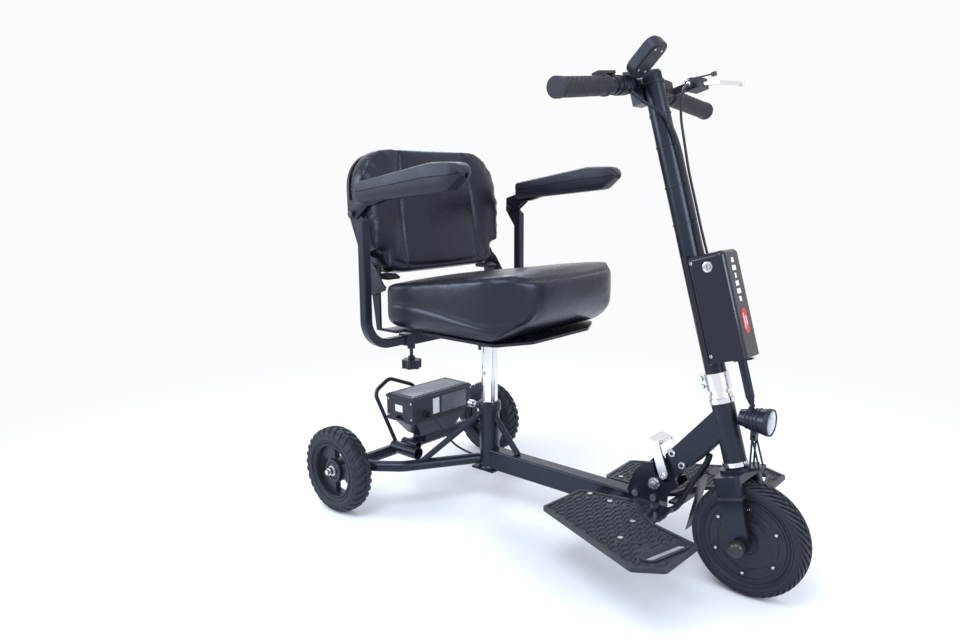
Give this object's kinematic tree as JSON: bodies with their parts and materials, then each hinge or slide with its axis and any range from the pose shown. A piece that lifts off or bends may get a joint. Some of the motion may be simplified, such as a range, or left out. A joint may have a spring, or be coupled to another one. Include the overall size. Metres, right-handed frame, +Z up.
{
  "type": "mobility scooter",
  "caption": "Folding three-wheeled mobility scooter with a swivel seat, flip-up arms, folding tiller, hub motor and footrests.",
  "frame": {"origin": "on the floor, halfway along and halfway across the machine", "axes": "+X forward, +Y to the rider's left, +Z up"},
  "size_m": [1.0728, 0.602, 0.9989],
  "materials": {
    "frame_paint": "satin black powder coat, slightly blue",
    "footrest_plastic": "moulded black with a raised pattern",
    "zinc": "zinc plated",
    "chrome": "bright chrome",
    "polished": "polished",
    "black_steel": "black oxide",
    "tyre": "matt black",
    "hub_paint": "satin black",
    "vinyl": "soft black vinyl",
    "black_plastic": "moulded black",
    "gloss_black": "glossy black",
    "battery_case": "fine-textured black",
    "grip_rubber": "moulded rubber",
    "cable_jacket": "smooth black",
    "key_metal": "satin",
    "lens": "clear"
  },
  "bodies": {
    "rear_frame": {"main_beam": "frame_paint", "seat_tube": "frame_paint", "rear_frame": "frame_paint", "rear_axles": "zinc", "battery_tray": "frame_paint", "rear_hoop": "frame_paint", "hinge_plates": "frame_paint", "hinge_pivot_bolt": "zinc", "frame_screws": "zinc", "footrest_left": "footrest_plastic", "footrest_right": "footrest_plastic", "footrest_bracket": "frame_paint", "power_lead": "cable_jacket"},
    "seat_pin": {"seat_lock_pin": "zinc"},
    "battery": {"battery_pack": "battery_case"},
    "front_frame": {"down_tube": "frame_paint", "head_tube": "frame_paint", "hinge_knuckle": "frame_paint", "headset": "chrome", "wiring_loom": "cable_jacket"},
    "latch": {"latch_lever": "polished"},
    "steering": {"steering_column": "frame_paint", "column_clamp": "polished", "fork": "frame_paint", "motor_axle": "black_steel", "mudguard": "frame_paint", "handlebar": "frame_paint", "grips": "grip_rubber", "throttle_body": "black_plastic", "display": "black_plastic", "brake_mount": "black_plastic", "control_cables": "cable_jacket", "controller_case": "gloss_black", "lamp_bracket": "frame_paint"},
    "column_cap": {"column_cap": "black_plastic"},
    "throttle": {"throttle_lever": "black_plastic"},
    "brake": {"brake_lever": "polished"},
    "bell": {"bell_lever": "black_steel"},
    "key": {"key_switch": "key_metal"},
    "headlight": {"headlight_case": "frame_paint", "headlight_lens": "lens"},
    "front_wheel": {"front_tyre": "tyre", "motor_hub": "hub_paint"},
    "rear_wheel_left": {"rear_tyre_left": "tyre", "rear_rim_left": "hub_paint"},
    "rear_wheel_right": {"rear_tyre_right": "tyre", "rear_rim_right": "hub_paint"},
    "seat_post": {"seat_post": "chrome"},
    "post_button": {"post_button": "zinc"},
    "seat": {"seat_base": "frame_paint", "seat_cushion": "vinyl"},
    "swivel_lever": {"release_lever": "black_plastic"},
    "backrest": {"back_shell": "black_plastic", "back_cushion": "vinyl"},
    "arm_post_left": {"arm_post_left": "frame_paint"},
    "arm_post_right": {"arm_post_right": "frame_paint"},
    "armrest_left": {"armrest_left": "black_plastic"},
    "armrest_right": {"armrest_right": "black_plastic"},
    "knob_left": {"knob_left": "black_plastic"},
    "knob_right": {"knob_right": "black_plastic"}
  },
  "joints": [
    {"name": "rear_wheel_left_spin", "type": "hinge", "parent": "rear_frame", "child": "rear_wheel_left", "pos_m": [-0.4364, 0.267, 0.1], "axis": [0, 1, 0], "continuous": true},
    {"name": "rear_wheel_right_spin", "type": "hinge", "parent": "rear_frame", "child": "rear_wheel_right", "pos_m": [-0.4364, -0.267, 0.1], "axis": [0, 1, 0], "continuous": true},
    {"name": "front_wheel_spin", "type": "hinge", "parent": "steering", "child": "front_wheel", "pos_m": [0.4286, 0, 0.1078], "axis": [0, 1, 0], "continuous": true},
    {"name": "front_fold", "type": "hinge", "parent": "rear_frame", "child": "front_frame", "pos_m": [0.2456, 0, 0.172], "axis": [0, 1, 0], "range_deg": [-15, 0]},
    {"name": "latch_turn", "type": "hinge", "parent": "front_frame", "child": "latch", "pos_m": [0.2656, 0, 0.194], "axis": [0, 1, 0], "range_deg": [-50, 0]},
    {"name": "steering_turn", "type": "hinge", "parent": "front_frame", "child": "steering", "pos_m": [0.38172, 0, 0.28867], "axis": [-0.2723, 0, 0.9622], "range_deg": [-40, 40]},
    {"name": "cap_turn", "type": "hinge", "parent": "steering", "child": "column_cap", "pos_m": [0.20065, 0, 0.92854], "axis": [-0.2723, 0, 0.9622], "range_deg": [0, 180]},
    {"name": "throttle_press", "type": "hinge", "parent": "steering", "child": "throttle", "pos_m": [0.17002, -0.085, 0.92111], "axis": [0.0308, -0.9936, -0.1089], "range_deg": [0, 35], "stiffness_Nm_per_rad": 0.15},
    {"name": "brake_squeeze", "type": "hinge", "parent": "steering", "child": "brake", "pos_m": [0.23, 0.134, 0.93685], "axis": [-0.2723, 0, 0.9622], "range_deg": [0, 25], "stiffness_Nm_per_rad": 0.5},
    {"name": "bell_strike", "type": "hinge", "parent": "steering", "child": "bell", "pos_m": [0.21765, 0.112, 0.94374], "axis": [-0.2723, 0, 0.9622], "range_deg": [0, 12], "stiffness_Nm_per_rad": 0.02},
    {"name": "key_turn", "type": "hinge", "parent": "steering", "child": "key", "pos_m": [0.33856, -0.032, 0.60278], "axis": [0, 1, 0], "range_deg": [0, 90]},
    {"name": "headlight_tilt", "type": "hinge", "parent": "steering", "child": "headlight", "pos_m": [0.4256, 0, 0.3], "axis": [0, 1, 0], "range_deg": [-10, 10]},
    {"name": "seat_pin_pull", "type": "slide", "parent": "rear_frame", "child": "seat_pin", "axis": [-1, 0, 0], "range_m": [0, 0.012], "stiffness_N_per_m": 300},
    {"name": "battery_lift", "type": "slide", "parent": "rear_frame", "child": "battery", "axis": [0, 0, 1], "range_m": [0, 0.1]},
    {"name": "seat_height", "type": "slide", "parent": "rear_frame", "child": "seat_post", "axis": [0, 0, 1], "range_m": [-0.03, 0.06]},
    {"name": "post_button_press", "type": "slide", "parent": "seat_post", "child": "post_button", "axis": [0, 1, 0], "range_m": [0, 0.0025], "stiffness_N_per_m": 300},
    {"name": "seat_swivel", "type": "hinge", "parent": "seat_post", "child": "seat", "pos_m": [-0.2014, 0, 0.39], "axis": [0, 0, 1], "range_deg": [-90, 90]},
    {"name": "swivel_lever_pull", "type": "hinge", "parent": "seat", "child": "swivel_lever", "pos_m": [-0.1654, 0.01, 0.403], "axis": [0, 0, 1], "range_deg": [0, 15], "stiffness_Nm_per_rad": 0.3},
    {"name": "backrest_fold", "type": "hinge", "parent": "seat", "child": "backrest", "pos_m": [-0.3664, 0, 0.56], "axis": [0, 1, 0], "range_deg": [0, 80]},
    {"name": "arm_width_left", "type": "slide", "parent": "seat", "child": "arm_post_left", "axis": [0, 1, 0], "range_m": [0, 0.05]},
    {"name": "arm_width_right", "type": "slide", "parent": "seat", "child": "arm_post_right", "axis": [0, -1, 0], "range_m": [0, 0.05]},
    {"name": "armrest_flip_left", "type": "hinge", "parent": "arm_post_left", "child": "armrest_left", "pos_m": [-0.3484, 0.262, 0.689], "axis": [0, 1, 0], "range_deg": [-85, 0]},
    {"name": "armrest_flip_right", "type": "hinge", "parent": "arm_post_right", "child": "armrest_right", "pos_m": [-0.3484, -0.262, 0.689], "axis": [0, 1, 0], "range_deg": [-85, 0]},
    {"name": "knob_left_turn", "type": "hinge", "parent": "seat", "child": "knob_left", "pos_m": [-0.3244, 0.132, 0.36], "axis": [0, 0, 1], "continuous": true},
    {"name": "knob_right_turn", "type": "hinge", "parent": "seat", "child": "knob_right", "pos_m": [-0.3244, -0.132, 0.36], "axis": [0, 0, 1], "continuous": true}
  ]
}
